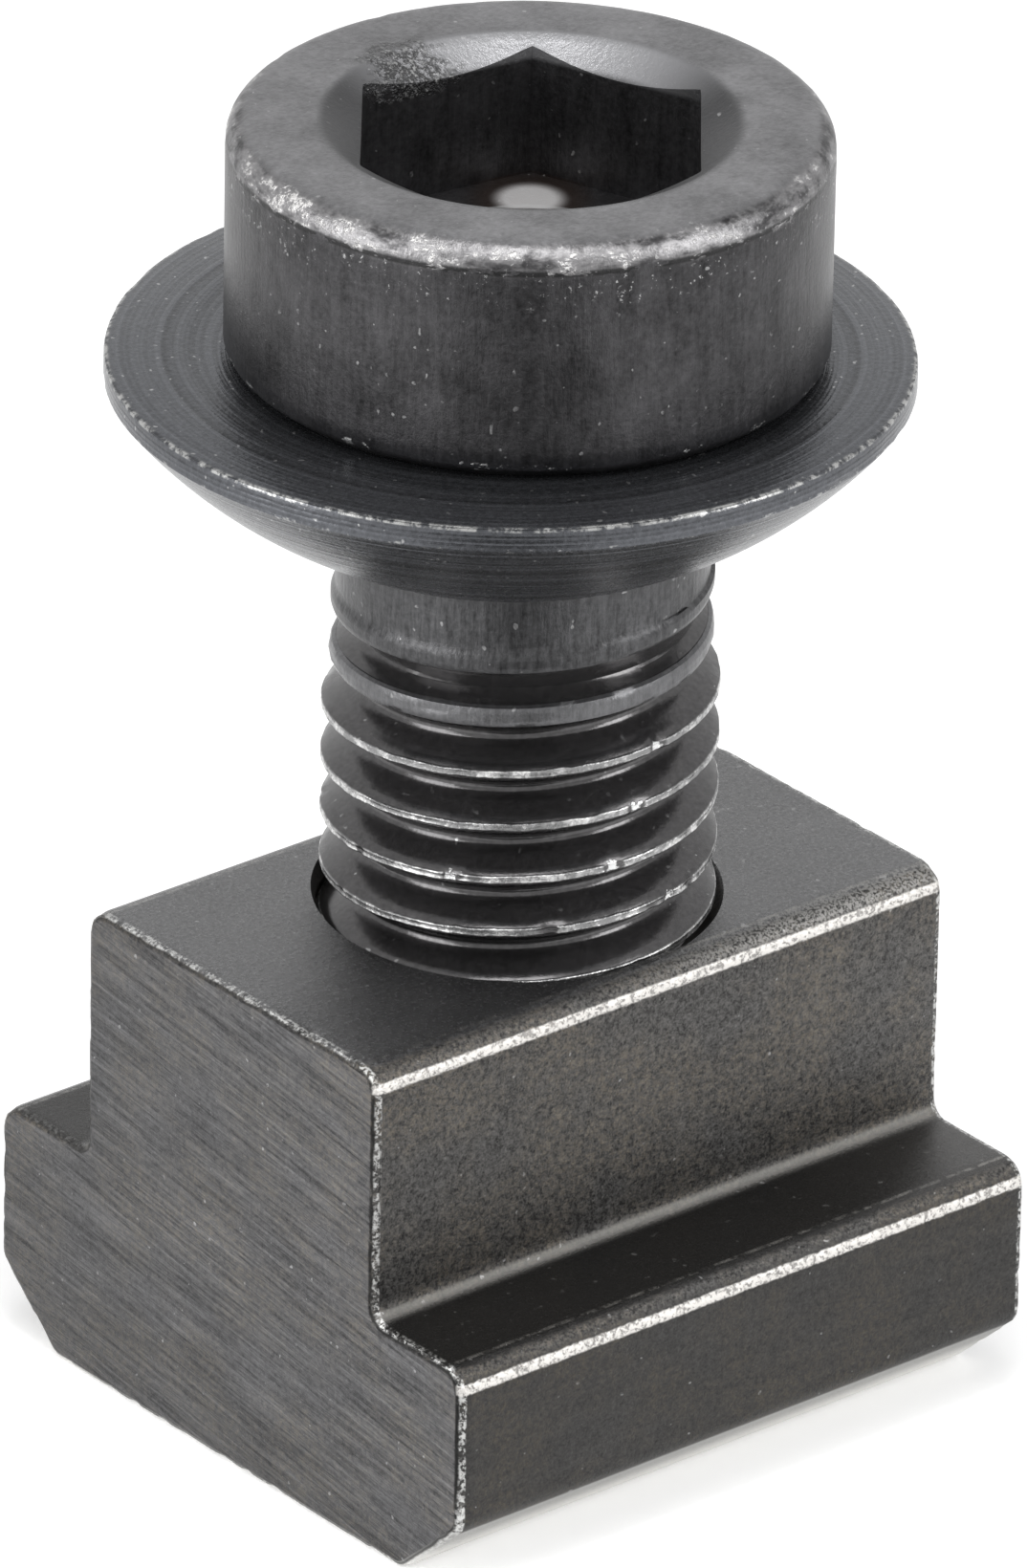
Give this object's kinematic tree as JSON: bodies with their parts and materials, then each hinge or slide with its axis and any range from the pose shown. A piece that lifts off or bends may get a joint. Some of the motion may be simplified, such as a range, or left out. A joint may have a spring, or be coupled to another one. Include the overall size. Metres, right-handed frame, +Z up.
{
  "type": "t slot nut with clamping screw",
  "caption": "T-slot nut with a low-head hexagon-socket clamping screw and a loose washer with a convex spherical underside.",
  "frame": {"origin": "centre of the nut's flat base, on the thread's axis", "axes": "+Z up the screw, +X along the T-slot, +Y across it"},
  "size_m": [0.0241, 0.024, 0.0413],
  "materials": {
    "nut_steel": "black oxide, sawn ends and worn edges",
    "screw_steel": "black oxide, satin",
    "washer_steel": "black oxide, turned"
  },
  "bodies": {
    "nut": {"t_nut": "nut_steel"},
    "washer": {"spherical_washer": "washer_steel"},
    "screw": {"cap_screw": "screw_steel"}
  },
  "joints": [
    {"name": "screw_travel", "type": "slide", "parent": "nut", "child": "washer", "axis": [0, 0, 1], "range_m": [-0.00351, 0.01051]},
    {"name": "screw_turn", "type": "hinge", "parent": "washer", "child": "screw", "pos_m": [0, 0, 0.03385], "axis": [0, 0, 1], "range_deg": [-720, 2160]}
  ],
  "couplings": [
    {"joint": "screw_travel", "follows": "screw_turn", "m_per_rad": 0.00027852}
  ]
}
